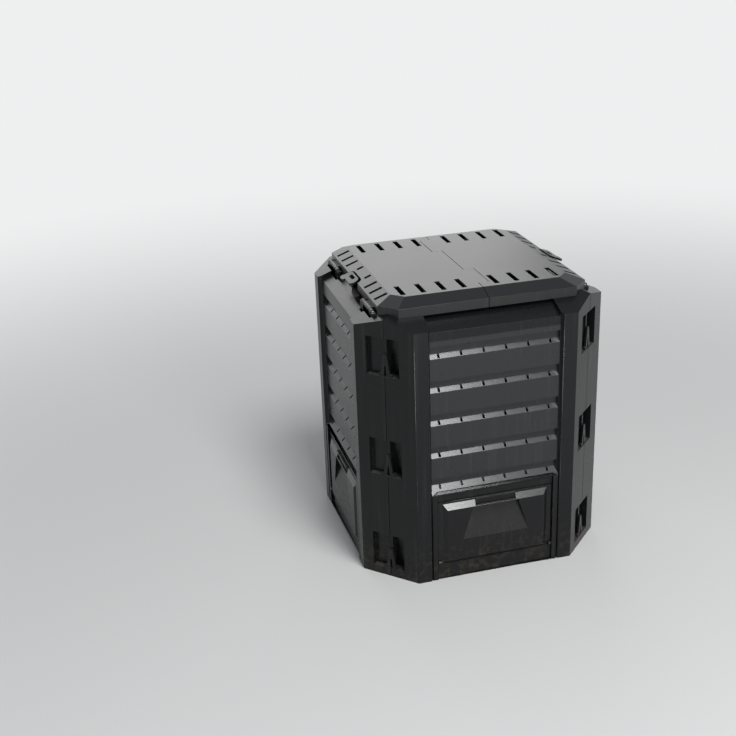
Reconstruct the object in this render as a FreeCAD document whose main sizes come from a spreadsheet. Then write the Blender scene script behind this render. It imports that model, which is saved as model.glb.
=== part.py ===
import FreeCAD, Part
import os
import Sketcher
from FreeCAD import Placement, Rotation, Vector

os.makedirs("parts", exist_ok=True)
doc = FreeCAD.newDocument("CompostBin")

# Driving dimensions, in millimetres. The origin is on the ground under the middle of the bin,
# +Z is up and the front wall faces -Y. A "depth" is measured inwards from a wall's outer face.
DIMENSIONS = [
    # the four walls: an octagon in plan, its short sides made of two halves that meet in a seam
    ("half_width", 359.5), ("corner_cut", 128), ("wall_thick", 4), ("wall_top", 761),
    ("seam_flange", 30), ("roof_slope", 0.385),
    # the set-back bay of slats between the two plain columns
    ("column_width", 39.5), ("bay_draft", 7), ("bay_drop", 8), ("slat_depth", 12),
    ("slat_rows", 5), ("lowest_ledge", 286), ("top_slat", 75), ("ledge_depth", 11),
    ("band_height", 23),
    ("vent_count", 6), ("vent_margin", 25.5), ("vent_width", 6), ("vent_lip", 1.5),
    # the frame round the door at the foot of the bay
    ("frame_margin", 12.5), ("frame_width", 15), ("frame_depth", 1), ("rail_depth", 8),
    ("header_bottom", 250), ("sill_top", 47), ("hatch_margin", 22.5), ("hatch_drop", 14),
    ("stop_rise", 98), ("stop_length", 14), ("stop_width", 1.2),
    # the door, a tray with a raised panel, a finger scoop and a snap lip
    ("door_gap", 1.5), ("door_foot_gap", 4.5), ("door_head_gap", 5), ("door_thick", 3.2),
    ("panel_margin", 15), ("panel_draft", 14), ("panel_foot", 11), ("panel_drop", 8.4),
    ("panel_bevel", 21.1), ("panel_wall", 3),
    ("scoop_side", 45.5), ("scoop_taper", 30), ("scoop_rim", 1.5), ("scoop_height", 99),
    ("scoop_depth", 20), ("grip_inset", 8), ("lip_height", 4),
    ("trunnion_depth", 4.5), ("trunnion_rise", 7), ("trunnion_radius", 2.5),
    ("trunnion_length", 7), ("ear_radius", 4.4), ("ear_width", 9),
    # the corner pockets with their forked wedge clips, three at each corner
    ("pocket_rows", 3), ("pocket_floor", 25), ("pocket_height", 110), ("pocket_headroom", 26),
    ("deep_width", 44.5), ("deep_depth", 27), ("shallow_width", 55.5), ("shallow_depth", 16),
    ("pan_wall", 3), ("flange_setback", 9.3),
    ("clip_headroom", 48), ("clip_top_half", 6), ("clip_foot_half", 14.5), ("clip_front", 2.5),
    ("clip_back", 8.8), ("clip_cheek", 3), ("clip_reach", 14.5), ("clip_slit", 30),
    ("clip_slit_half", 4), ("clip_play", 0.3), ("clip_base_half", 21), ("clip_base", 8),
    # the lid: two like leaves with a stepped seam between them
    ("lid_setback", 61.5), ("lid_lap", 28), ("lid_cut", 45), ("lid_rim_rise", 26.3),
    ("lid_bevel_run", 46), ("lid_bevel_rise", 17), ("lid_face_cut", 31), ("lid_thick", 4),
    ("lid_seat_gap", 0.3),
    ("seam_gap", 1.5), ("seam_step", 30), ("step_inner", 95), ("step_margin", 83),
    ("slots_per_leaf", 4), ("slot_first", 47), ("slot_last_margin", 32.2), ("slot_width", 14),
    ("slot_end_margin", 14), ("slot_length", 73),
    ("side_slots", 3), ("side_slot_short", 41), ("side_slot_first", 102),
    ("side_slot_last_margin", 94), ("side_slot_width", 13), ("side_slot_end_margin", 6),
    ("side_slot_length", 36), ("short_slot_length", 19),
    ("rib_thick", 3), ("rib_drop", 9), ("rib_spacing", 118),
    # the hinges at the outer edge of each leaf
    ("hinge_out", 8), ("hinge_rise", 8.4), ("pin_radius", 3.5), ("running_gap", 0.05),
    ("knuckle_radius", 6.5), ("knuckle_margin", 38), ("knuckle_length", 55),
    ("knuckle_play", 2), ("lug_length", 20), ("lug_foot", 12), ("trough_in", 16),
    ("trough_out", 11), ("trough_margin", 6),
    # the turn lock in the middle of each hinge edge: a capped boss, a lever and its pin
    ("lock_inset", 12), ("boss_radius", 11), ("boss_straight", 12), ("boss_height", 39.5),
    ("boss_well", 12), ("well_radius", 5.5), ("well_straight", 12.5),
    ("cap_radius", 15.3), ("cap_straight", 27), ("cap_offset", 4), ("cap_thick", 6),
    ("tab_radius", 8), ("tab_straight", 8), ("tab_back", 30), ("notch_gap", 6.1),
    ("lever_rise", 0.9), ("lever_thick", 14), ("lever_play", 0.4), ("lever_half", 8),
    ("lever_waist", 7), ("lever_margin", 42), ("lever_swing", 17.5), ("lock_pin_radius", 3),
]
sheet = doc.addObject("Spreadsheet::Sheet", "Sizes")
for row, (alias, number) in enumerate(DIMENSIONS, start=1):
    sheet.set(f"A{row}", alias)
    sheet.set(f"B{row}", str(number))
    sheet.setAlias(f"B{row}", alias)
doc.recompute()


class Size:
    """A length that carries both its value and the expression it is worked out from."""

    def __init__(self, value, text):
        self.value = value
        self.text = text

    def __add__(self, other):
        other = as_size(other)
        return Size(self.value + other.value, f"({self.text} + {other.text})")

    def __sub__(self, other):
        other = as_size(other)
        return Size(self.value - other.value, f"({self.text} - {other.text})")

    def __mul__(self, other):
        other = as_size(other)
        return Size(self.value * other.value, f"({self.text} * {other.text})")

    def __truediv__(self, other):
        other = as_size(other)
        return Size(self.value / other.value, f"({self.text} / {other.text})")

    def __neg__(self):
        return Size(-self.value, f"(0 - {self.text})")

    def __radd__(self, other):
        return as_size(other) + self

    def __rsub__(self, other):
        return as_size(other) - self

    def __rmul__(self, other):
        return as_size(other) * self


def as_size(number):
    """Take a plain number or a Size and give a Size."""
    return number if isinstance(number, Size) else Size(float(number), f"{float(number):.6f}")


def size(alias):
    """The dimension of the sheet with this alias."""
    return Size(float(sheet.get(alias)), f"Sizes.{alias}")


def bind(thing, bindings):
    """Tie properties of an object to sizes, from a map of property path to size."""
    for path, length in bindings.items():
        thing.setExpression(path, as_size(length).text)
    return thing


ROOT_TWO = Size(2 ** 0.5, "sqrt(2)")
PLANES = {
    "XY": (Rotation(), "z"),
    "XZ": (Rotation(Vector(1, 0, 0), 90), "y"),
    "YZ": (Rotation(Vector(1, 1, 1), 120), "x"),
}


def draw(sketch, outlines):
    """Draw closed outlines of straight lines, every corner tied to its sizes."""
    for outline in outlines:
        first = sketch.GeometryCount
        corners = [(as_size(u), as_size(v)) for u, v in outline]
        for here, there in zip(corners, corners[1:] + corners[:1]):
            start = Vector(here[0].value, here[1].value, 0)
            end = Vector(there[0].value, there[1].value, 0)
            sketch.addGeometry(Part.LineSegment(start, end))
        for number, corner in enumerate(corners):
            line = first + number
            following = first + (number + 1) % len(corners)
            sketch.addConstraint(Sketcher.Constraint("Coincident", line, 2, following, 1))
            for kind, length in zip(("DistanceX", "DistanceY"), corner):
                place = sketch.addConstraint(
                    Sketcher.Constraint(kind, -1, 1, line, 1, length.value))
                sketch.setExpression(f"Constraints[{place}]", length.text)


def flat_sketch(name, plane, outlines, level):
    """A sketch of closed outlines on a plane square to an axis, at a level along that axis."""
    rotation, axis = PLANES[plane]
    sketch = doc.addObject("Sketcher::SketchObject", name)
    sketch.Placement = Placement(Vector(), rotation)
    draw(sketch, outlines)
    return bind(sketch, {f"Placement.Base.{axis}": level})


def prism(name, plane, outlines, start, end):
    """Solid of closed outlines drawn on a plane, from start to end along the plane's axis."""
    backwards = plane == "XZ"
    solid = doc.addObject("Part::Extrusion", name)
    solid.Base = flat_sketch(name + "_sketch", plane, outlines, end if backwards else start)
    solid.DirMode = "Normal"
    solid.Solid = True
    return bind(solid, {"LengthFwd": as_size(end) - start})


def loft(name, plane, sections):
    """Solid between like outlines, each given with its level along the plane's axis."""
    solid = doc.addObject("Part::Loft", name)
    solid.Sections = [
        flat_sketch(f"{name}_section_{number}", plane, [outline], level)
        for number, (level, outline) in enumerate(sections)]
    solid.Solid = True
    solid.Ruled = True
    return solid


def block(name, low, high):
    """Straight block between two corners."""
    solid = doc.addObject("Part::Box", name)
    sides = {"Length": 0, "Width": 1, "Height": 2}
    bindings = {side: as_size(high[i]) - low[i] for side, i in sides.items()}
    bindings.update({f"Placement.Base.{axis}": low[i] for i, axis in enumerate("xyz")})
    return bind(solid, bindings)


def rod(name, axis, start, length, radius):
    """Round bar from a point, along X, Y or Z."""
    turns = {"X": Rotation(Vector(0, 1, 0), 90), "Y": Rotation(Vector(1, 0, 0), -90),
             "Z": Rotation()}
    solid = doc.addObject("Part::Cylinder", name)
    solid.Placement = Placement(Vector(), turns[axis])
    bindings = {f"Placement.Base.{letter}": start[i] for i, letter in enumerate("xyz")}
    bindings.update({"Height": length, "Radius": radius})
    return bind(solid, bindings)


def fuse(name, solids):
    """One solid of several that meet."""
    result = doc.addObject("Part::MultiFuse", name)
    result.Shapes = solids
    result.Refine = True
    return result


def cut(name, base, tools):
    """The base with the tools taken away."""
    result = doc.addObject("Part::Cut", name)
    result.Base = base
    result.Tool = tools[0] if len(tools) == 1 else fuse(name + "_tools", tools)
    result.Refine = True
    return result


def common(name, solids):
    """What several solids have in common."""
    result = doc.addObject("Part::MultiCommon", name)
    result.Shapes = solids
    result.Refine = True
    return result


def group(name, solids, base=(0, 0, 0), rotation=Rotation()):
    """Several solids kept as they are, moved together to a place."""
    result = doc.addObject("Part::Compound", name)
    result.Links = solids
    result.Placement = Placement(Vector(), rotation)
    return bind(result, {f"Placement.Base.{axis}": base[i] for i, axis in enumerate("xyz")})


def turned(name, solid, degrees):
    """A like piece, turned about the bin's upright axis."""
    return group(name, [solid], rotation=Rotation(Vector(0, 0, 1), degrees))


def mirrored_pair(outline):
    """An outline and its mirror image in X, drawn the same way round."""
    return [outline, [(-as_size(u), v) for u, v in reversed(outline)]]


def octagon(half, corner):
    """Corners of a square of this half width with its corners cut off."""
    inner = half - corner
    return [(-half, -inner), (-inner, -half), (inner, -half), (half, -inner),
            (half, inner), (inner, half), (-inner, half), (-half, inner)]


def stadium(name, radius, straight, low, high, centre=(0, 0)):
    """Upright bar with two round ends, its length along Y and its middle at a centre."""
    x, y = (as_size(place) for place in centre)
    ends = [rod(f"{name}_end_{side}", "Z", (x, place, low), as_size(high) - low, radius)
            for side, place in (("a", y - straight), ("b", y + straight))]
    middle = block(f"{name}_middle", (x - radius, y - straight, low),
                   (x + radius, y + straight, high))
    return fuse(name, [middle] + ends)


half = size("half_width")
chamfer = size("corner_cut")
thick = size("wall_thick")
column_edge = half - chamfer
seam = half - chamfer / 2
slope = size("roof_slope")
wall_top = size("wall_top")
lid_half = half - size("lid_setback")
mouth = lid_half - size("lid_lap")
roof_top = wall_top + slope * (half - mouth)
OVERCUT = 1  # how far a cut goes past the face that it opens

# Walls. Each is one moulding: two columns with half a corner each, a bay of overlapping slats
# that shed rain and let air in between them, the frame of a door and a leaning shoulder.
slat = size("slat_depth")
band = slat + size("ledge_depth")
bay = column_edge - size("column_width")
bay_side = bay - size("bay_draft")
bay_top = wall_top - size("bay_drop")
slat_rows = int(size("slat_rows").value)
slat_pitch = (bay_top - size("lowest_ledge") - size("top_slat")) / (slat_rows - 1)
pocket_rows = int(size("pocket_rows").value)
pocket_space = wall_top - size("pocket_headroom") - size("pocket_height") - size("pocket_floor")
pocket_pitch = pocket_space / (pocket_rows - 1)
frame_half = bay_side - size("frame_margin")
sill_top = size("sill_top")
header_bottom = size("header_bottom")
trunnion_height = sill_top + size("trunnion_rise")


def depth(length):
    """Place along Y at this depth behind the front wall's outer face."""
    return as_size(length) - half


def slat_profile():
    """Section through the bay: ledges and lips outside, the same a wall's thickness in, inside."""
    rise = size("ledge_depth")
    lean = thick * ROOT_TWO
    outside = [(depth(slat), 0)]
    inside = [(depth(slat + thick), 0)]
    for number in range(slat_rows):
        edge = size("lowest_ledge") + slat_pitch * number
        lip = edge + rise + size("band_height")
        outside += [(depth(slat), edge), (depth(band), edge + rise),
                    (depth(band), lip), (depth(slat), lip)]
        inside += [(depth(slat + thick), edge + thick - lean),
                   (depth(band + thick), edge + rise + thick - lean),
                   (depth(band + thick), lip + thick), (depth(slat + thick), lip + thick)]
    crest = bay_top + slope * (half - mouth - slat)
    outside += [(depth(slat), bay_top), (-mouth, crest)]
    inside += [(depth(slat + thick), bay_top + slope * thick - thick),
               (-mouth, crest - thick)]
    return outside + inside[::-1]


def column_outline():
    """Plan of the column and half corner at the wall's -X end, with the flange at the seam."""
    reach = size("seam_flange") / ROOT_TWO
    side = thick / ROOT_TWO
    return [(-seam, -seam), (-column_edge, -half), (-bay, -half), (-bay_side, depth(slat)),
            (-bay_side, depth(band + thick)), (-bay_side - thick, depth(band + thick)),
            (-bay_side - thick, depth(slat)), (-bay - thick, depth(thick)),
            (-column_edge + thick * (ROOT_TWO - 1), depth(thick)), (-seam + side * 2, -seam),
            (-seam + reach + side, -seam + reach - side), (-seam + reach, -seam + reach)]


def roof_plan():
    """Plan of the shoulder over the column at the wall's -X end."""
    return [(-seam, -seam), (-column_edge, -half), (-bay, -half), (-bay_side, depth(slat)),
            (-bay_side, -mouth), (-mouth, -mouth)]


def corner_frame(name, solids, side):
    """Solids drawn along a short side, X from its seam and Y inwards, put at the wall's corner."""
    return group(name, solids, (seam * side, -seam, 0), Rotation(Vector(0, 0, 1), 45 * side))


def pocket(name, floor, width, reach, side):
    """Pan that closes a corner pocket at the back, and the two cuts that open it."""
    top = floor + size("pocket_height")
    wall = size("pan_wall")
    setback = size("flange_setback")

    def span(near, far):
        return (near, far) if side < 0 else (-as_size(far), -as_size(near))

    across = span(0, width + wall)
    pan = block(name + "_pan", (across[0], 0, floor - wall), (across[1], reach + wall, top + wall))
    across = span(-OVERCUT, width)
    mouth_cut = block(name + "_mouth", (across[0], -OVERCUT, floor), (across[1], setback, top))
    across = span(thick, width)
    well_cut = block(name + "_well", (across[0], 0, floor), (across[1], reach, top))
    return pan, [mouth_cut, well_cut]


def build_front_wall():
    """The whole front wall, the pattern of all four."""
    lengths = (-half, half)
    under_roof = prism("under_roof", "YZ", [[
        (-half, 0), (-half, wall_top), (-mouth, roof_top), (-mouth, 0)]], *lengths)
    roof_plate = prism("roof_plate", "YZ", [[
        (-half, wall_top - thick), (-half, wall_top), (-mouth, roof_top),
        (-mouth, roof_top - thick)]], *lengths)
    roof_area = prism("roof_area", "XY", mirrored_pair(roof_plan()),
                      wall_top - thick * 2, roof_top)
    posts = prism("posts", "XY", mirrored_pair(column_outline()), 0, roof_top)
    cheeks = prism("cheeks", "XY", mirrored_pair([
        (-bay_side - thick, depth(slat)), (-bay_side, depth(slat)), (-bay_side, -mouth),
        (-bay_side - thick, -mouth)]), bay_top - thick * 2, roof_top)
    reach = bay_side + thick / 2
    curtain = prism("curtain", "YZ", [slat_profile()], -reach, reach)

    ledge = size("lowest_ledge")
    rail = size("rail_depth")
    strip_face = size("frame_depth")
    strip_edge = frame_half + size("frame_width")
    strip_profile = [(depth(strip_face), 0), (depth(strip_face), ledge - slat + strip_face),
                     (depth(slat), ledge), (depth(slat + thick / 2), ledge),
                     (depth(slat + thick / 2), 0)]
    strips = [prism("strip_a", "YZ", [strip_profile], -strip_edge, -frame_half),
              prism("strip_b", "YZ", [strip_profile], frame_half, strip_edge)]
    header = prism("header", "YZ", [[
        (depth(rail), header_bottom), (depth(rail), ledge - slat + rail),
        (depth(slat), ledge), (depth(slat + thick / 2), ledge),
        (depth(slat + thick / 2), header_bottom)]], -frame_half, frame_half)
    sill = block("sill", (-frame_half, depth(rail), 0),
                 (frame_half, depth(slat + thick / 2), sill_top))
    stops = []
    stop_low = sill_top + size("stop_rise")
    for side in (-1, 1):
        edges = sorted([(frame_half - size("stop_width")) * side, frame_half * side],
                       key=lambda edge: edge.value)
        stops.append(block(f"door_stop_{'ab'[side > 0]}",
                           (edges[0], depth(strip_face * 2), stop_low),
                           (edges[1], depth(rail), stop_low + size("stop_length"))))

    pans = {-1: [], 1: []}
    pocket_cuts = {-1: [], 1: []}
    for number in range(pocket_rows):
        floor = size("pocket_floor") + pocket_pitch * number
        for side, width, reach_in in ((-1, "deep_width", "deep_depth"),
                                      (1, "shallow_width", "shallow_depth")):
            name = f"pocket_{'ab'[side > 0]}{number}"
            pan, cuts = pocket(name, floor, size(width), size(reach_in), side)
            pans[side].append(pan)
            pocket_cuts[side] += cuts

    solids = [curtain, header, sill, common("roof", [roof_plate, roof_area])] + strips + stops
    solids.append(common("standing", [fuse("upright", [posts, cheeks]), under_roof]))
    solids += [corner_frame(f"pans_{'ab'[side > 0]}", pans[side], side) for side in (-1, 1)]
    shell = fuse("wall_shell", solids)

    hatch_half = frame_half - size("hatch_margin")
    hatch = block("hatch", (-hatch_half, depth(slat - OVERCUT), sill_top),
                  (hatch_half, depth(slat + thick + OVERCUT), header_bottom - size("hatch_drop")))
    vents = []
    count = int(size("vent_count").value)
    vent_reach = bay_side - size("vent_margin")
    for row_number in range(slat_rows):
        edge = size("lowest_ledge") + slat_pitch * row_number
        for place in range(count):
            middle = vent_reach * (place * 2 / (count - 1) - 1)
            vents.append(block(
                f"vent_{row_number}{place}",
                (middle - size("vent_width") / 2, depth(slat + size("vent_lip")), edge - thick * 2),
                (middle + size("vent_width") / 2, depth(band), edge + thick * 3)))
    sockets = [rod(f"socket_{'ab'[side > 0]}", "X",
                   (frame_half * side - (0 if side > 0 else size("trunnion_length")),
                    depth(size("trunnion_depth")), trunnion_height),
                   size("trunnion_length"), size("trunnion_radius") + size("running_gap"))
               for side in (-1, 1)]
    tools = [hatch] + vents + sockets
    tools += [corner_frame(f"pocket_cuts_{'ab'[side > 0]}", [fuse(f"cuts_{'ab'[side > 0]}", cuts)],
                           side) for side, cuts in pocket_cuts.items()]
    return cut("front_wall", shell, tools)


front_wall = build_front_wall()
back_wall = turned("back_wall", front_wall, 180)

# The two side walls also carry the lid: each has a pair of hinge lugs over a trough at either
# end of its shoulder, and between them the capped boss of a turn lock, square to the shoulder.
hinge_out = lid_half + size("hinge_out")
axis_x = -hinge_out
axis_z = wall_top + slope * (half - hinge_out) + size("hinge_rise")
knuckle_end = lid_half - size("lid_cut") - size("knuckle_margin")
knuckle_start = knuckle_end - size("knuckle_length")
near_lug = knuckle_start - size("knuckle_play")
far_lug = knuckle_end + size("knuckle_play")
lug = size("lug_length")
trough_margin = size("trough_margin")
trough_low = near_lug - lug - trough_margin
trough_high = far_lug + lug + trough_margin
lock_out = lid_half - size("lock_inset")
lever_reach = trough_low - trough_margin - size("lever_half") - size("lever_margin")
SHOULDER_LEAN = Rotation(Vector(0, -1, 0), 1)


def on_shoulder(name, solids):
    """Solids drawn with Z out of the left shoulder's bay, put where the lock's pin stands."""
    result = group(name, solids, (
        -lock_out, 0, bay_top + slope * (half - slat - lock_out)), SHOULDER_LEAN)
    result.setExpression("Placement.Rotation.Angle", "atan(Sizes.roof_slope)")
    return result


def across_y(name, low, high, y_low, y_high):
    """Two like blocks, one at each side of Y = 0, from their X and Z corners."""
    front = block(f"{name}_front", (low[0], -as_size(y_high), low[1]),
                  (high[0], -as_size(y_low), high[1]))
    return [front, block(f"{name}_back", (low[0], y_low, low[1]), (high[0], y_high, high[1]))]


def rods_along_y(name, y_low, y_high, radius):
    """Two like bars on the hinge axis, one at each side of Y = 0."""
    length = as_size(y_high) - y_low
    return [rod(f"{name}_front", "Y", (axis_x, -as_size(y_high), axis_z), length, radius),
            rod(f"{name}_back", "Y", (axis_x, y_low, axis_z), length, radius)]


def build_left_wall():
    """The left wall: the common wall with its hinge lugs, troughs and lock boss."""
    plain = turned("left_plain", front_wall, -90)
    troughs = across_y("trough", (axis_x - size("trough_out"), bay_top - thick * 3),
                       (axis_x + size("trough_in"), roof_top + thick), trough_low, trough_high)
    opened = cut("left_opened", plain, troughs)
    foot = size("lug_foot") / 2
    radius = size("knuckle_radius")
    plate_low = bay_top + slope * (half + axis_x - foot - slat) - thick
    plate_high = wall_top + slope * (half + axis_x - foot) - thick
    lugs = across_y("near_foot", (axis_x - foot, plate_low), (axis_x + foot, axis_z),
                    near_lug - lug - trough_margin * 2, near_lug)
    lugs += across_y("far_foot", (axis_x - foot, plate_high), (axis_x + foot, axis_z),
                     far_lug, far_lug + lug + trough_margin * 2)
    lugs += rods_along_y("near_eye", near_lug - lug, near_lug, radius)
    lugs += rods_along_y("far_eye", far_lug, far_lug + lug, radius)

    boss_radius = size("boss_radius")
    boss_top = size("boss_height")
    cap_low = boss_top - size("cap_thick")
    cap_out = size("cap_offset")
    well_floor = boss_top - size("boss_well")
    boss = stadium("boss", boss_radius, size("boss_straight"), -thick / 2, boss_top)
    cap = stadium("boss_cap", size("cap_radius"), size("cap_straight"), cap_low, boss_top,
                  (-cap_out, 0))
    tab = stadium("boss_tab", size("tab_radius"), size("tab_straight"), cap_low, boss_top,
                  (-cap_out - size("cap_radius"), size("tab_back")))
    play = size("lever_play")
    lever_room = block("lever_room", (-lever_reach, -lever_reach, size("lever_rise") - play),
                       (boss_radius * 2, boss_radius + OVERCUT,
                        size("lever_rise") + size("lever_thick") + play))
    well = stadium("well", size("well_radius"), size("well_straight"), well_floor,
                   boss_top + OVERCUT)
    pin_hole = rod("lock_pin_hole", "Z", (0, 0, -thick * 2), well_floor + thick * 2 - OVERCUT,
                   size("lock_pin_radius") + size("running_gap"))
    lock_body = cut("lock_body", fuse("lock_mass", [boss, cap, tab]), [lever_room, well])
    body = fuse("left_body", [opened, on_shoulder("lock_on_wall", [lock_body])] + lugs)
    bores = rods_along_y("wall_bore", trough_low, trough_high,
                         size("pin_radius") + size("running_gap"))
    return cut("left_wall", body, bores + [on_shoulder("lock_hole", [pin_hole])])


left_wall = build_left_wall()
right_wall = turned("right_wall", left_wall, 180)


def build_door():
    """A drop-down door: a tray whose raised panel has a scoop, a grip notch and a snap lip."""
    side = frame_half - size("door_gap")
    rail = size("rail_depth")
    wall = size("panel_wall")
    back = rail + size("door_thick")
    top = header_bottom - size("door_head_gap")
    panel_half = frame_half - size("panel_margin")
    face_half = panel_half - size("panel_draft")
    panel_low = sill_top + size("panel_foot")
    panel_high = header_bottom - size("panel_drop")
    face_high = panel_high - size("panel_bevel")

    def panel(across, low, high):
        return [(-across, low), (across, low), (across, high), (-across, high)]

    plate = block("door_plate", (-side, depth(rail), sill_top + size("door_foot_gap")),
                  (side, depth(back), top))
    raised = loft("door_raised", "XZ", [
        (depth(rail + OVERCUT), panel(panel_half, panel_low, panel_high)),
        (depth(0), panel(face_half, panel_low, face_high))])
    hollow = loft("door_hollow", "XZ", [
        (depth(back + OVERCUT), panel(panel_half - wall, panel_low + wall, panel_high - wall)),
        (depth(wall), panel(face_half - wall, panel_low + wall, face_high - wall))])
    scoop_high = face_high - size("scoop_rim")
    scoop_low = scoop_high - size("scoop_height")
    deep = size("scoop_depth")
    low_half = face_half - size("scoop_side")
    high_half = low_half - size("scoop_taper")
    grip_half = high_half - size("grip_inset")
    scoop_area = prism("scoop_area", "XZ", [[
        (-low_half, scoop_low), (low_half, scoop_low), (high_half, scoop_high),
        (-high_half, scoop_high)]], depth(-OVERCUT), depth(deep + wall))
    scoop_wedge = prism("scoop_wedge", "YZ", [[
        (depth(-OVERCUT), scoop_low), (depth(0), scoop_low), (depth(deep), scoop_high),
        (depth(-OVERCUT), scoop_high)]], -low_half, low_half)
    scoop = common("scoop", [scoop_area, scoop_wedge])
    pan_area = prism("pan_area", "XZ", [[
        (-low_half - wall, scoop_low - wall), (low_half + wall, scoop_low - wall),
        (high_half + wall, scoop_high + wall), (-high_half - wall, scoop_high + wall)]],
        depth(OVERCUT), depth(deep + wall))
    pan_wedge = prism("pan_wedge", "YZ", [[
        (depth(OVERCUT), scoop_low - wall), (depth(wall), scoop_low - wall),
        (depth(deep + wall), scoop_high - wall), (depth(deep + wall), scoop_high + wall),
        (depth(OVERCUT), scoop_high + wall)]], -low_half - wall, low_half + wall)
    pan = common("scoop_pan", [pan_area, pan_wedge])
    lip_low = top - size("lip_height")
    grip = block("grip", (-grip_half, depth(-OVERCUT), face_high + wall / 2),
                 (grip_half, depth(rail), lip_low))
    grip_back = block("grip_back", (-grip_half, depth(rail), face_high),
                      (grip_half, depth(back), lip_low))
    lip = block("snap_lip", (-grip_half, depth(size("frame_depth")), lip_low),
                (grip_half, depth(rail), top))
    ears = []
    trunnions = []
    centre = (depth(size("trunnion_depth")), trunnion_height)
    for hand, edge in ((-1, -side), (1, side - size("ear_width"))):
        letter = "ab"[hand > 0]
        ears.append(rod(f"ear_{letter}", "X", (edge,) + centre, size("ear_width"), size("ear_radius")))
        outer = size("door_gap") + size("trunnion_length") - OVERCUT
        start = side - OVERCUT if hand > 0 else -side - outer + OVERCUT
        trunnions.append(rod(f"trunnion_{letter}", "X", (start,) + centre, outer,
                             size("trunnion_radius")))
    tray = cut("door_tray", fuse("door_mass", [plate, raised]), [hollow])
    full = fuse("door_full", [tray, pan, grip_back, lip] + ears + trunnions)
    return cut("front_door", full, [scoop, grip])


front_door = build_door()
doors = [front_door] + [turned(name, front_door, degrees) for name, degrees in (
    ("right_door", 90), ("back_door", 180), ("left_door", -90))]


def build_clip():
    """Forked wedge with a broad foot that slides down over a seam's flanges, standing on Z = 0."""
    body = doc.addObject("PartDesign::Body", "clip_pattern")
    front_plane = [f for f in body.Origin.OriginFeatures if f.Role == "XZ_Plane"][0]
    face_sketch = body.newObject("Sketcher::SketchObject", "clip_face")
    face_sketch.AttachmentSupport = [(front_plane, "")]
    face_sketch.MapMode = "FlatFace"
    face_sketch.setExpression("AttachmentOffset.Base.z", (-size("clip_front")).text)
    foot = size("clip_foot_half")
    base = size("clip_base_half")
    base_top = size("clip_base")
    slit = size("clip_slit_half")
    tip = size("clip_top_half")
    top = size("pocket_height") - size("clip_headroom")
    draw(face_sketch, [[(-base, 0), (-slit, 0), (-slit / 2, size("clip_slit")),
                        (slit / 2, size("clip_slit")), (slit, 0), (base, 0), (base, base_top),
                        (foot, base_top), (tip, top), (-tip, top), (-foot, base_top),
                        (-base, base_top)]])
    face = body.newObject("PartDesign::Pad", "clip_plate")
    face.Profile = face_sketch
    face.Reversed = True
    bind(face, {"Length": size("clip_back") - size("clip_front")})
    cheek_sketch = body.newObject("Sketcher::SketchObject", "clip_cheek_face")
    cheek_sketch.AttachmentSupport = [(front_plane, "")]
    cheek_sketch.MapMode = "FlatFace"
    cheek_sketch.setExpression("AttachmentOffset.Base.z", (-size("clip_front")).text)
    inner = thick + size("clip_play")
    outer = inner + size("clip_cheek")
    draw(cheek_sketch, mirrored_pair([
        (inner, 0), (outer, 0), (outer, top / 2), (inner, top / 2)]))
    cheeks = body.newObject("PartDesign::Pad", "clip_cheeks")
    cheeks.Profile = cheek_sketch
    cheeks.Reversed = True
    bind(cheeks, {"Length": size("clip_reach") - size("clip_front")})
    body.Tip = cheeks
    return body


clip_pattern = build_clip()
clips = []
for corner, x_side, y_side, degrees in (("front_left", -1, -1, -45), ("front_right", 1, -1, 45),
                                        ("back_right", 1, 1, 135), ("back_left", -1, 1, -135)):
    for level in range(pocket_rows):
        height = size("pocket_floor") + pocket_pitch * level
        place = (seam * x_side, seam * y_side, height)
        name = f"clip_{corner}_{('low', 'middle', 'top')[level]}"
        clips.append(group(name, [clip_pattern], place, Rotation(Vector(0, 0, 1), degrees)))


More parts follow.
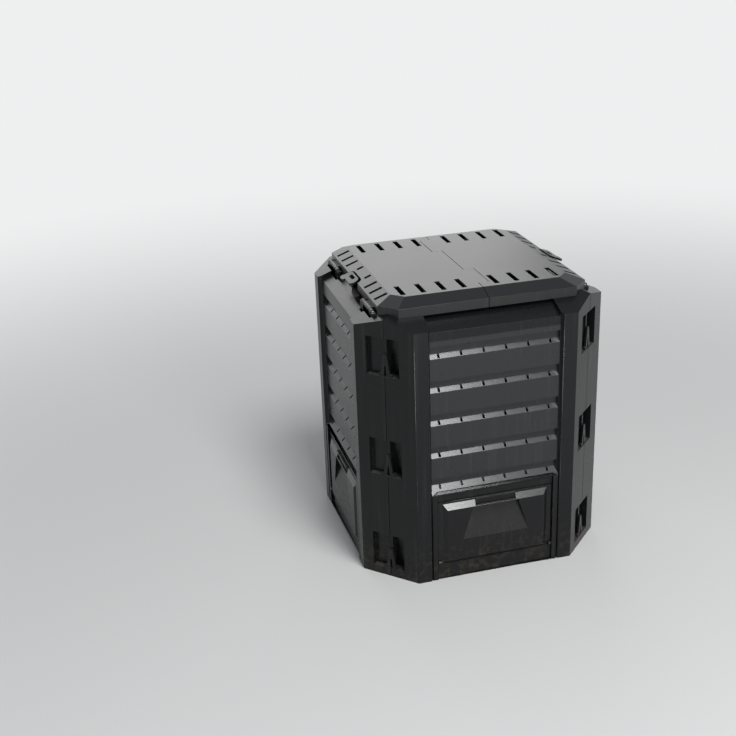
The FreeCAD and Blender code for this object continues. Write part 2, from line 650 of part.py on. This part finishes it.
def build_left_lid():
    """The left leaf of the lid: a shallow cap with slots, ribs, a stepped edge and knuckles."""
    outer = lid_half
    rim_top = wall_top + slope * size("lid_setback") + size("lid_rim_rise")
    top = rim_top + size("lid_bevel_rise")
    wall = size("lid_thick")
    low = wall_top
    inner = outer - wall
    inner_cut = size("lid_cut") - wall * (2 - ROOT_TWO)
    face = outer - size("lid_bevel_run")
    envelope = fuse("lid_envelope", [
        prism("lid_rim", "XY", [octagon(outer, size("lid_cut"))], low, rim_top),
        loft("lid_bevel", "XY", [(rim_top, octagon(outer, size("lid_cut"))),
                                 (top, octagon(face, size("lid_face_cut")))])])
    cavity = fuse("lid_cavity", [
        prism("lid_cavity_low", "XY", [octagon(inner, inner_cut)], low - OVERCUT, rim_top - wall),
        loft("lid_cavity_high", "XY", [(rim_top - wall, octagon(inner, inner_cut)),
                                       (top - wall, octagon(face, size("lid_face_cut")))])])
    shell = cut("lid_shell", envelope, [cavity])

    notch_gap = size("notch_gap")
    notch_top = size("boss_height") * 2
    notch = on_shoulder("notch", [
        stadium("notch_cut", size("cap_radius") - size("cap_offset") + notch_gap,
                size("cap_straight") + notch_gap, -notch_top, notch_top)])

    rib = size("rib_thick")
    rib_low = top - wall - size("rib_drop")
    ribs = [block(f"rib_across_{number}", (-outer, size("rib_spacing") * number - rib / 2, rib_low),
                  (size("seam_step"), size("rib_spacing") * number + rib / 2, top - wall / 2))
            for number in (-1, 0, 1)]
    ribs += [block(f"rib_along_{number}", (-size("rib_spacing") * number - rib / 2, -outer, rib_low),
                   (-size("rib_spacing") * number + rib / 2, outer, top - wall / 2))
             for number in (1, 2)]
    rib_set = common("lid_ribs", [envelope, fuse("rib_bars", ribs)])

    gap = size("lid_seat_gap")
    eaves = wall_top + gap
    peak = eaves + slope * half
    below = low - wall
    hip_profile = [(-half, below), (-half, eaves), (0, peak), (half, eaves), (half, below)]
    hip = common("hip", [prism("hip_y", "YZ", [hip_profile], -half, half),
                         prism("hip_x", "XZ", [hip_profile], -half, half)])
    middle = mouth - size("lid_lap") / 2
    hip_ring = cut("hip_ring", hip, [block("hip_middle", (-middle, -middle, below - OVERCUT),
                                           (middle, middle, peak + OVERCUT))])

    step = size("seam_step")
    step_in = size("step_inner")
    step_out = outer - size("step_margin")
    play = size("seam_gap") / 2
    leaf_area = prism("leaf_area", "XY", [[
        (-half, -half), (-play, -half), (-play, -step_out - play), (step - play, -step_out - play),
        (step - play, -step_in + play), (-play, -step_in + play), (-play, step_in - play),
        (-step - play, step_in - play), (-step - play, step_out + play), (-play, step_out + play),
        (-play, half), (-half, half)]], below, top + OVERCUT)

    slots = []
    slot_low = rim_top - wall - size("rib_drop")
    slot_high = top + OVERCUT
    slot_half = size("slot_width") / 2
    slot_far = face - size("slot_end_margin")
    count = int(size("slots_per_leaf").value)
    spacing = (face - size("slot_last_margin") - size("slot_first")) / (count - 1)
    for number in range(count):
        place = -size("slot_first") - spacing * number
        slots += across_y(f"slot_{number}", (place - slot_half, slot_low),
                          (place + slot_half, slot_high), slot_far - size("slot_length"), slot_far)
    side_half = size("side_slot_width") / 2
    side_far = outer - size("side_slot_end_margin")
    side_near = side_far - size("side_slot_length")
    side_count = int(size("side_slots").value)
    first = size("side_slot_first")
    side_spacing = (outer - size("side_slot_last_margin") - first) / (side_count - 1)
    side_places = [(size("side_slot_short"), side_near + size("short_slot_length"))]
    side_places += [(first + side_spacing * number, side_far) for number in range(side_count)]
    for number, (place, far) in enumerate(side_places):
        slots += across_y(f"side_slot_{number}", (-far, slot_low), (-side_near, slot_high),
                          place - side_half, place + side_half)

    body = cut("lid_body", fuse("lid_mass", [shell, rib_set]), [notch, hip_ring] + slots)
    leaf = common("leaf_body", [body, leaf_area])
    radius = size("knuckle_radius")
    knuckles = rods_along_y("knuckle", knuckle_start, knuckle_end, radius)
    knuckles += across_y("knuckle_web", (axis_x, axis_z - radius / 2),
                         (-outer + wall / 2, axis_z + radius), knuckle_start, knuckle_end)
    bores = rods_along_y("leaf_bore", knuckle_start - OVERCUT, knuckle_end + OVERCUT,
                         size("pin_radius") + size("running_gap"))
    return cut("left_lid", fuse("leaf_with_knuckles", [leaf] + knuckles), bores)


left_lid = build_left_lid()
right_lid = turned("right_lid", left_lid, 180)

# Hinge pins, plain bars pushed through the lugs and the leaf's knuckle.
pin_front, pin_back = rods_along_y("left_hinge_pin", near_lug - lug, far_lug + lug,
                                   size("pin_radius"))
hinge_pins = [pin_front, pin_back, turned("right_hinge_pin_back", pin_front, 180),
              turned("right_hinge_pin_front", pin_back, 180)]


def build_lever():
    """The lock's lever, drawn with its pin hole at the origin and its arm towards -Y."""
    reach = lever_reach
    swing = size("lever_swing")
    width = size("lever_half")
    waist = size("lever_waist")
    hub_radius = size("boss_radius")
    low = size("lever_rise")
    high = low + size("lever_thick")
    arm = prism("lever_arm", "XY", [[
        (-hub_radius, 0), (-swing - waist + OVERCUT, -reach / 2), (-swing - width, -reach),
        (-swing + width, -reach), (-swing + waist + OVERCUT, -reach / 2), (hub_radius, 0)]],
        low, high)
    hub = rod("lever_hub", "Z", (0, 0, low), size("lever_thick"), hub_radius)
    end = rod("lever_end", "Z", (-swing, -reach, low), size("lever_thick"), width)
    bore = rod("lever_bore", "Z", (0, 0, low - OVERCUT), size("lever_thick") + OVERCUT * 2,
               size("lock_pin_radius") + size("running_gap"))
    return cut("lever_pattern", fuse("lever_mass", [arm, hub, end]), [bore])


left_lever = on_shoulder("left_lock_lever", [build_lever()])
right_lever = turned("right_lock_lever", left_lever, 180)
pin_length = size("boss_height") - size("boss_well") + thick - OVERCUT
left_lock_pin = on_shoulder("left_lock_pin", [
    rod("lock_pin_pattern", "Z", (0, 0, -thick), pin_length, size("lock_pin_radius"))])
right_lock_pin = turned("right_lock_pin", left_lock_pin, 180)

pieces = [front_wall, back_wall, left_wall, right_wall] + doors + [left_lid, right_lid]
pieces += hinge_pins + [left_lever, right_lever, left_lock_pin, right_lock_pin] + clips
doc.recompute()

faults = [thing.Name for thing in doc.Objects
          if "Invalid" in thing.State or "Error" in thing.State]
for piece in pieces:
    piece.Label = piece.Name
    if piece.Shape.isNull() or not piece.Shape.isValid() or piece.Shape.Volume <= 0:
        faults.append(piece.Name)
if faults:
    raise RuntimeError("not built: " + ", ".join(faults))
for piece in pieces:
    piece.Shape.exportStep(f"parts/{piece.Label}.step")
    print(piece.Label, len(piece.Shape.Solids), round(piece.Shape.Volume), piece.Shape.BoundBox)
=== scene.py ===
import math

import bmesh
import bpy
from mathutils import Matrix, Vector


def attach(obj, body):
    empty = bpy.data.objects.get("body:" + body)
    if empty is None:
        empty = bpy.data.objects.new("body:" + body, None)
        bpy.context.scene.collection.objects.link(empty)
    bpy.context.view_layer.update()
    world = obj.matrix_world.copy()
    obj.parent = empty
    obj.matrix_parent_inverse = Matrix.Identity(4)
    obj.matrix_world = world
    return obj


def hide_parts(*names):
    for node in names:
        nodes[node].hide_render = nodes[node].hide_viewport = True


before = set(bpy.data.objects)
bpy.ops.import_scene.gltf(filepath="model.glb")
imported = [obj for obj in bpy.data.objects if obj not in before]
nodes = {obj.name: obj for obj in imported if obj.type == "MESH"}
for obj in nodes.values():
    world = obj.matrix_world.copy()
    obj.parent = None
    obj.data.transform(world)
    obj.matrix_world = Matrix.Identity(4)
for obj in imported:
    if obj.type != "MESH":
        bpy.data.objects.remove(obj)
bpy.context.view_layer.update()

# The walls are four like mouldings of black polypropylene that meet at a seam in the middle of
# each cut-off corner. The slats come from the tool with a fine leather grain, the columns are
# smoother, and rain has left faint runs down both.
WALL_BLACK = (0.006, 0.0065, 0.007, 1)
SLAT_BLACK = (0.025, 0.026, 0.028, 1)
# The dust colour also paints the highlight on the slope of each door's scoop.
DUST_AND_PAINTED_LIGHT = (0.16, 0.155, 0.145, 1)
SOIL = (0.11, 0.080, 0.052, 1)
SLAT_HALF = 0.185
SLATS_FROM = 0.270
SLATS_TO = 0.725
LEDGES_TO = 0.720
LEDGE_TILT = 0.55
SOIL_LINE = 0.16
CLOUD_GRAIN = 7
SPECK_GRAIN = 60
SPLASH_GRAIN = 55
RUN_GRAIN = (70, 70, 2.2)
STREAK_SHARE = 0.06
SPLASH_SHARE = 0.18
POLISH_SHARE = 0.85
MERGE_WITHIN = 0.00002
FLAT_WITHIN = 0.4
SMOOTH_UNDER = 50
SHORTEST_EDGE = 0.0035
EDGE_TURN = 13
WALL_EDGE = 0.00045
WALL_TURN = 23
COLUMN_EDGE = 0.0014
COLUMN_TURN = 20
COLUMN_SHORTEST = 0.20
SEAM_REACH = 0.590
SEAM_WITHIN = 0.0002
SEAM_PLAY = 0.0008


class Value:
    """A shader value that takes part in plain arithmetic."""

    def __init__(self, finish, socket):
        self.finish = finish
        self.socket = socket

    def math(self, operation, *terms):
        return self.finish.node("ShaderNodeMath", {"operation": operation}, dict(enumerate(terms)))

    def __add__(self, other):
        return self.math("ADD", self, other)

    def __radd__(self, other):
        return self.math("ADD", other, self)

    def __sub__(self, other):
        return self.math("SUBTRACT", self, other)

    def __rsub__(self, other):
        return self.math("SUBTRACT", other, self)

    def __mul__(self, other):
        return self.math("MULTIPLY", self, other)

    def __rmul__(self, other):
        return self.math("MULTIPLY", other, self)

    def size(self):
        return self.math("ABSOLUTE", self)

    def fade(self, start, end):
        """0 at start and 1 at end, with a soft run between them."""
        return self.finish.node("ShaderNodeMapRange", {"interpolation_type": "SMOOTHSTEP"}, {
            "Value": self, "From Min": start, "From Max": end})

    def band(self, low, high, run):
        """1 between two values, with a soft run up past the low one and down past the high one."""
        return self.fade(low, low + run) * self.fade(high + run, high)


class Finish:
    """The nodes of a material or of the sky, and the one way in which they are added."""

    def __init__(self, owner):
        owner.use_nodes = True
        self.owner = owner
        self.tree = owner.node_tree
        self.tree.nodes.clear()

    def node(self, kind, settings=None, sockets=None, output=0):
        node = self.tree.nodes.new(kind)
        for key, setting in (settings or {}).items():
            setattr(node, key, setting)
        for key, value in (sockets or {}).items():
            if isinstance(value, Value):
                self.tree.links.new(value.socket, node.inputs[key])
            else:
                node.inputs[key].default_value = value
        return Value(self, node.outputs[output]) if len(node.outputs) else None

    def along(self, axis):
        """How far along X, Y or Z a point of the piece lies, in metres."""
        here = self.node("ShaderNodeTexCoord", output="Object")
        return self.node("ShaderNodeSeparateXYZ", sockets={"Vector": here}, output=axis)

    def facing(self, axis):
        """How much the surface looks along X, Y or Z, from -1 to 1."""
        normal = self.node("ShaderNodeTexCoord", output="Normal")
        return self.node("ShaderNodeSeparateXYZ", sockets={"Vector": normal}, output=axis)

    def noise(self, scale, detail, stretch=(1, 1, 1)):
        """Soft noise with so many patches to the metre, denser along an axis by its stretch."""
        here = self.node("ShaderNodeTexCoord", output="Object")
        spread = self.node("ShaderNodeMapping", sockets={"Vector": here, "Scale": stretch})
        return self.node("ShaderNodeTexNoise", sockets={
            "Vector": spread, "Scale": scale, "Detail": detail})

    def over(self, share, under, top):
        """A colour laid over another by a share."""
        return self.node("ShaderNodeMix", {"data_type": "RGBA"},
                         {0: share, 6: under, 7: top}, output=2)

    def close(self, colour, roughness, relief, sheen, polish):
        """The finished plastic: its colour, roughness, relief and sheen, and where it shines."""
        bump = self.node("ShaderNodeBump", sockets={
            "Height": relief, "Distance": 0.00012, "Strength": 0.7})
        shader = self.node("ShaderNodeBsdfPrincipled", sockets={
            "Base Color": colour, "Roughness": roughness, "Normal": bump, "IOR": 1.5,
            "Specular IOR Level": sheen, "Coat Weight": polish, "Coat Roughness": 0.2})
        self.node("ShaderNodeOutputMaterial", sockets={"Surface": shader})
        return self.owner


def moulded_plastic(name, colour, roughness, grain, dust=0.35, sheen=0.3, cloud=0.10,
                    slats=False, shine=None, painted_scoop_light=0):
    """Black polypropylene with a moulded grain, dust on its flats and soil at its foot.

    The slats are greyer than the rest. A shine is the tilt of the slopes that rain keeps glossy
    and the heights between which they lie. The last argument lays a painted highlight, in the
    dust colour, on the slope of a door's scoop, lighter towards the slope's foot.
    """
    finish = Finish(bpy.data.materials.new(name))
    up = finish.facing("Z")
    height = finish.along("Z")
    pebble = finish.noise(grain, 2)
    clouds = finish.noise(CLOUD_GRAIN, 4)

    base = colour
    if slats:
        inner_x = finish.along("X").size().fade(SLAT_HALF + 0.002, SLAT_HALF)
        inner_y = finish.along("Y").size().fade(SLAT_HALF + 0.002, SLAT_HALF)
        bay = (inner_x + inner_y) * height.band(SLATS_FROM, SLATS_TO, 0.005)
        base = finish.over(bay, colour, SLAT_BLACK)

    polish = 0.0
    if shine:
        tilt, foot, top = shine
        slope = up.fade(tilt - 0.04, tilt + 0.04) * up.fade(0.95, 0.85)
        polish = slope * POLISH_SHARE * height.band(foot, top, 0.005)

    runs = finish.noise(1, 4, RUN_GRAIN).fade(0.52, 0.78)
    streaks = runs * up.fade(0.5, 0.1) * STREAK_SHARE
    settled_dust_and_painted_light = up.fade(0.95, 1.0) * finish.noise(SPECK_GRAIN, 5).fade(-0.4, 0.9) * dust
    # Painted highlight: the dust colour laid on the slope of a door's scoop, lighter towards the
    # slope's foot.
    if painted_scoop_light:
        settled_dust_and_painted_light = settled_dust_and_painted_light + up.band(0.17, 0.26, 0.04) * height.fade(0.235, 0.150) * painted_scoop_light
    splashes = finish.noise(SPLASH_GRAIN, 5).fade(0.48, 0.66)
    splashed = height.fade(SOIL_LINE, 0.0) * splashes * SPLASH_SHARE

    tinted = finish.over(streaks, base, DUST_AND_PAINTED_LIGHT)
    dusted_and_painted_light = finish.over(settled_dust_and_painted_light, tinted, DUST_AND_PAINTED_LIGHT)
    surface_colour = finish.over(splashed, dusted_and_painted_light, SOIL)
    worn = settled_dust_and_painted_light * 0.25 + splashed * 0.3 + streaks * 0.2
    rough = roughness + (clouds - 0.5) * cloud + worn
    return finish.close(surface_colour, rough, pebble + clouds * 0.6, sheen, polish)


def deselect():
    if bpy.context.mode != "OBJECT":
        bpy.ops.object.mode_set(mode="OBJECT")
    bpy.ops.object.select_all(action="DESELECT")


def pick(piece):
    """Make a piece the only selected and the active one."""
    deselect()
    piece.select_set(True)
    bpy.context.view_layer.objects.active = piece


def round_edges(piece, width, turn, shortest, upright=False):
    """Round a moulding's edges that turn by more than an angle and are longer than a length."""
    mesh = bmesh.from_edit_mesh(piece.data)
    for edge in mesh.edges:
        turns = edge.is_manifold and edge.calc_face_angle(0) > math.radians(turn)
        heights = [vert.co.z for vert in edge.verts]
        stands = max(heights) - min(heights) > 0.99 * edge.calc_length()
        wanted = stands or not upright
        edge.select_set(turns and wanted and edge.calc_length() > shortest)
    bmesh.update_edit_mesh(piece.data)
    bpy.ops.mesh.bevel(offset=width, segments=3, profile=0.55, affect="EDGES",
                       clamp_overlap=False, miter_outer="SHARP")
    bpy.ops.mesh.select_all(action="DESELECT")


def ease_seams(piece):
    """Open the mouths of the corners' seams, where the flanges of two walls meet."""
    mesh = bmesh.from_edit_mesh(piece.data)
    mouths = {}
    for face in mesh.faces:
        middle = face.calc_center_median()
        on_seam = abs(abs(middle.x) - abs(middle.y)) < SEAM_WITHIN
        if on_seam and abs(abs(face.normal.x) - abs(face.normal.y)) < 0.01:
            mouths.update((vert, face.normal.copy()) for vert in face.verts
                          if abs(vert.co.x) + abs(vert.co.y) > SEAM_REACH)
    for vert, normal in mouths.items():
        vert.co -= normal * SEAM_PLAY
    bmesh.update_edit_mesh(piece.data)


def moulded_copy(node, body, width, finish, turn=EDGE_TURN, column_edge=0):
    """A piece as it leaves its mould: the solid's own shape with its edges rounded."""
    piece = bpy.data.objects.new(node + "_moulding", nodes[node].data.copy())
    bpy.context.scene.collection.objects.link(piece)
    pick(piece)
    bpy.ops.object.mode_set(mode="EDIT")
    bpy.ops.mesh.select_all(action="SELECT")
    bpy.ops.mesh.remove_doubles(threshold=MERGE_WITHIN)
    bpy.ops.mesh.dissolve_limited(angle_limit=math.radians(FLAT_WITHIN))
    bpy.ops.mesh.select_all(action="DESELECT")
    bpy.ops.mesh.select_mode(type="EDGE")
    if column_edge:
        ease_seams(piece)
        round_edges(piece, column_edge, COLUMN_TURN, COLUMN_SHORTEST, upright=True)
    round_edges(piece, width, turn, SHORTEST_EDGE)
    bpy.ops.object.mode_set(mode="OBJECT")
    bpy.ops.object.shade_smooth_by_angle(angle=math.radians(SMOOTH_UNDER))
    modifier = piece.modifiers.new("even_faces", "WEIGHTED_NORMAL")
    modifier.keep_sharp = True
    modifier.weight = 60
    bpy.ops.object.modifier_apply(modifier="even_faces")
    piece.data.materials.clear()
    piece.data.materials.append(finish)
    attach(piece, body)
    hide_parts(node)


wall_finish = moulded_plastic("wall_plastic", WALL_BLACK, roughness=0.28, grain=900, sheen=0.27,
                              slats=True, shine=(LEDGE_TILT, SLATS_FROM, LEDGES_TO))
for wall in ("front_wall", "back_wall", "left_wall", "right_wall"):
    moulded_copy(wall, "bin", WALL_EDGE, wall_finish, WALL_TURN, COLUMN_EDGE)

# The doors are trays of the same black plastic, a little glossier. Each hangs on two trunnions
# at its foot and snaps shut under the header with the lip above its grip notch.
DOOR_BLACK = (0.006, 0.006, 0.007, 1)
DOOR_EDGE = 0.0007
SCOOP_TURN = 9
BEVEL_TILT = 0.32
BEVEL_FROM = 0.190
BEVEL_TO = 0.260
# The slope of each door's scoop gets a painted highlight in the dust colour, lighter towards its
# foot.
door_finish = moulded_plastic("door_plastic", DOOR_BLACK, roughness=0.25, grain=1100,
                              shine=(BEVEL_TILT, BEVEL_FROM, BEVEL_TO), painted_scoop_light=0.07)
for door in ("front_door", "back_door", "left_door", "right_door"):
    moulded_copy(door, door, DOOR_EDGE, door_finish, SCOOP_TURN)

# The wedge clips are pushed down over the two flanges of each seam, three at every corner. They
# are plain black mouldings with a smooth face and a slit that lets them spring.
CLIP_BLACK = (0.005, 0.005, 0.006, 1)
CLIP_EDGE = 0.0006
clip_finish = moulded_plastic("clip_plastic", CLIP_BLACK, roughness=0.33, grain=1400, dust=0.2)
for corner in ("front_left", "front_right", "back_right", "back_left"):
    for level in ("low", "middle", "top"):
        moulded_copy(f"clip_{corner}_{level}", "bin", CLIP_EDGE, clip_finish)

# The lid is two like leaves with a stepped seam between them. Weather has greyed their tops, and
# their knuckles hang on the pins at the outer edges.
LID_BLACK = (0.008, 0.008, 0.009, 1)
LID_EDGE = 0.0004
lid_finish = moulded_plastic("lid_plastic", LID_BLACK, roughness=0.31, grain=700, dust=0.20,
                             sheen=0.45, cloud=0.03)
for leaf in ("left_lid", "right_lid"):
    moulded_copy(leaf, leaf, LID_EDGE, lid_finish)

# The turn locks' levers are black nylon with a dull face, straight from the tool. Each turns on
# its pin under the boss at the lid's edge.
LEVER_BLACK = (0.006, 0.006, 0.007, 1)
LEVER_EDGE = 0.0010
lever_finish = moulded_plastic("lever_plastic", LEVER_BLACK, roughness=0.60, grain=1500, dust=0.1)
for lever in ("left_lock_lever", "right_lock_lever"):
    moulded_copy(lever, lever, LEVER_EDGE, lever_finish)

# The hinge pins and lock pins are plain zinc-plated steel rod, cut to length, with fine turning
# marks round them and a dull bloom from the weather.
ZINC = (0.62, 0.62, 0.60, 1)
DULL_ZINC = (0.40, 0.40, 0.39, 1)
TURNING_GRAIN = (160, 2600, 160)
BLOOM_GRAIN = 120
PIN_EDGE = 0.0004
PIN_TURN = 60
plating = Finish(bpy.data.materials.new("pin_steel"))
bloom = plating.noise(BLOOM_GRAIN, 4).fade(0.45, 0.7)
turning = plating.node("ShaderNodeBump", sockets={
    "Height": plating.noise(1, 3, TURNING_GRAIN), "Distance": 0.00005, "Strength": 0.5})
zinc = plating.node("ShaderNodeBsdfPrincipled", sockets={
    "Base Color": plating.over(bloom, ZINC, DULL_ZINC), "Roughness": bloom * 0.25 + 0.28,
    "Metallic": 0.95, "Normal": turning})
plating.node("ShaderNodeOutputMaterial", sockets={"Surface": zinc})
for side in ("left", "right"):
    for pin in (f"{side}_hinge_pin_front", f"{side}_hinge_pin_back", f"{side}_lock_pin"):
        moulded_copy(pin, "bin", PIN_EDGE, plating.owner, PIN_TURN)

# A pale level floor under the bin. Far from the bin it turns as pale as the sky behind it, to
# the eye and in reflections, so that no horizon shows.
FLOOR_GREY = (0.66, 0.66, 0.655, 1)
FAR_GREY = (0.86, 0.865, 0.87, 1)
FLOOR_WIDTH = 60
FADE_FROM = 0.8
FADE_TO = 4.5
deselect()
bpy.ops.mesh.primitive_plane_add(size=FLOOR_WIDTH, location=(0, 0, 0))
ground = bpy.context.object
ground.name = "ground"
paper = Finish(bpy.data.materials.new("pale_ground"))
spot = paper.node("ShaderNodeTexCoord", output="Object")
distance = paper.node("ShaderNodeVectorMath", {"operation": "LENGTH"}, {0: spot}, output=1)
seen = (paper.node("ShaderNodeLightPath", output="Is Camera Ray")
        + paper.node("ShaderNodeLightPath", output="Is Glossy Ray"))
paper.node("ShaderNodeOutputMaterial", sockets={
    "Surface": paper.node("ShaderNodeMixShader", sockets={
        0: seen * distance.fade(FADE_FROM, FADE_TO),
        1: paper.node("ShaderNodeBsdfDiffuse", sockets={"Color": FLOOR_GREY}),
        2: paper.node("ShaderNodeEmission", sockets={"Color": FAR_GREY, "Strength": 1.0})})})
ground.data.materials.append(paper.owner)

# A plain sky, pale round the horizon to the eye and in reflections and darker overhead. The
# light that it throws on the bin is even and weak.
SKY_LIGHT = (0.9, 0.95, 1, 1)
SKY_STRENGTH = 0.25
OVERHEAD_SHARE = 0.25
REFLECTED_SHARE = 0.75
sky = bpy.data.worlds.new("studio")
bpy.context.scene.world = sky
air = Finish(sky)
pale_ring = air.along("Z").fade(0.75, 0.30) * (1 - OVERHEAD_SHARE) + OVERHEAD_SHARE
seen = (air.node("ShaderNodeLightPath", output="Is Camera Ray")
        + air.node("ShaderNodeLightPath", output="Is Transmission Ray")
        + air.node("ShaderNodeLightPath", output="Is Glossy Ray") * REFLECTED_SHARE)
air.node("ShaderNodeOutputWorld", sockets={"Surface": air.node("ShaderNodeMixShader", sockets={
    0: seen * pale_ring,
    1: air.node("ShaderNodeBackground", sockets={"Color": SKY_LIGHT, "Strength": SKY_STRENGTH}),
    2: air.node("ShaderNodeBackground", sockets={"Color": FAR_GREY, "Strength": 1.0})})})

# Three soft boxes light the bin: a high and a low one in front, which its ledges and the doors'
# bevels mirror, and a wide faint one behind, which greys the lid.
LAMP_DISTANCE = 4.5
BIN_MIDDLE = Vector((0, 0, 0.4))


def soft_lamp(name, bearing, elevation, width, height, radiance):
    """A large soft box that looks at the bin from a bearing and a height, both in degrees."""
    turn = math.radians(bearing)
    climb = math.radians(elevation)
    away = Vector((math.sin(turn) * math.cos(climb), math.cos(turn) * math.cos(climb),
                   math.sin(climb)))
    lamp = bpy.data.lights.new(name, "AREA")
    lamp.shape = "RECTANGLE"
    lamp.size = width
    lamp.size_y = height
    lamp.energy = radiance * math.pi * width * height
    holder = bpy.data.objects.new(name, lamp)
    bpy.context.scene.collection.objects.link(holder)
    aim = (-away).to_track_quat("-Z", "Y").to_matrix().to_4x4()
    holder.matrix_world = Matrix.Translation(away * LAMP_DISTANCE + BIN_MIDDLE) @ aim


soft_lamp("front_sky", 172, 60, 1.7, 1.9, 13)
soft_lamp("front_low", 172, 12.5, 1.1, 1.3, 18)
soft_lamp("rear_sky", 2, 27, 3.8, 2.4, 1.8)

# The camera stands where the photograph was taken from: off the bin's front left corner, at
# about a standing person's eye height. Its place, turn and lens come from the photograph's edges.
CAMERA_PLACE = (-1.0477, -3.0423, 1.8625)
FOCAL_PIXELS = 1163.26
PICTURE_PIXELS = 736
SENSOR = 36
YAW = 0.252084
PITCH = 0.401740
ROLL = -0.0395851
eye = bpy.data.cameras.new("camera")
eye.sensor_width = SENSOR
eye.lens = SENSOR * FOCAL_PIXELS / PICTURE_PIXELS
eye.clip_end = 100
camera = bpy.data.objects.new("camera", eye)
bpy.context.scene.collection.objects.link(camera)
camera.matrix_world = (Matrix.Translation(CAMERA_PLACE)
                       @ Matrix.Rotation(-YAW, 4, "Z")
                       @ Matrix.Rotation(math.pi / 2 - PITCH, 4, "X")
                       @ Matrix.Rotation(ROLL, 4, "Z"))
bpy.context.scene.camera = camera
bpy.context.scene.view_settings.view_transform = "Standard"
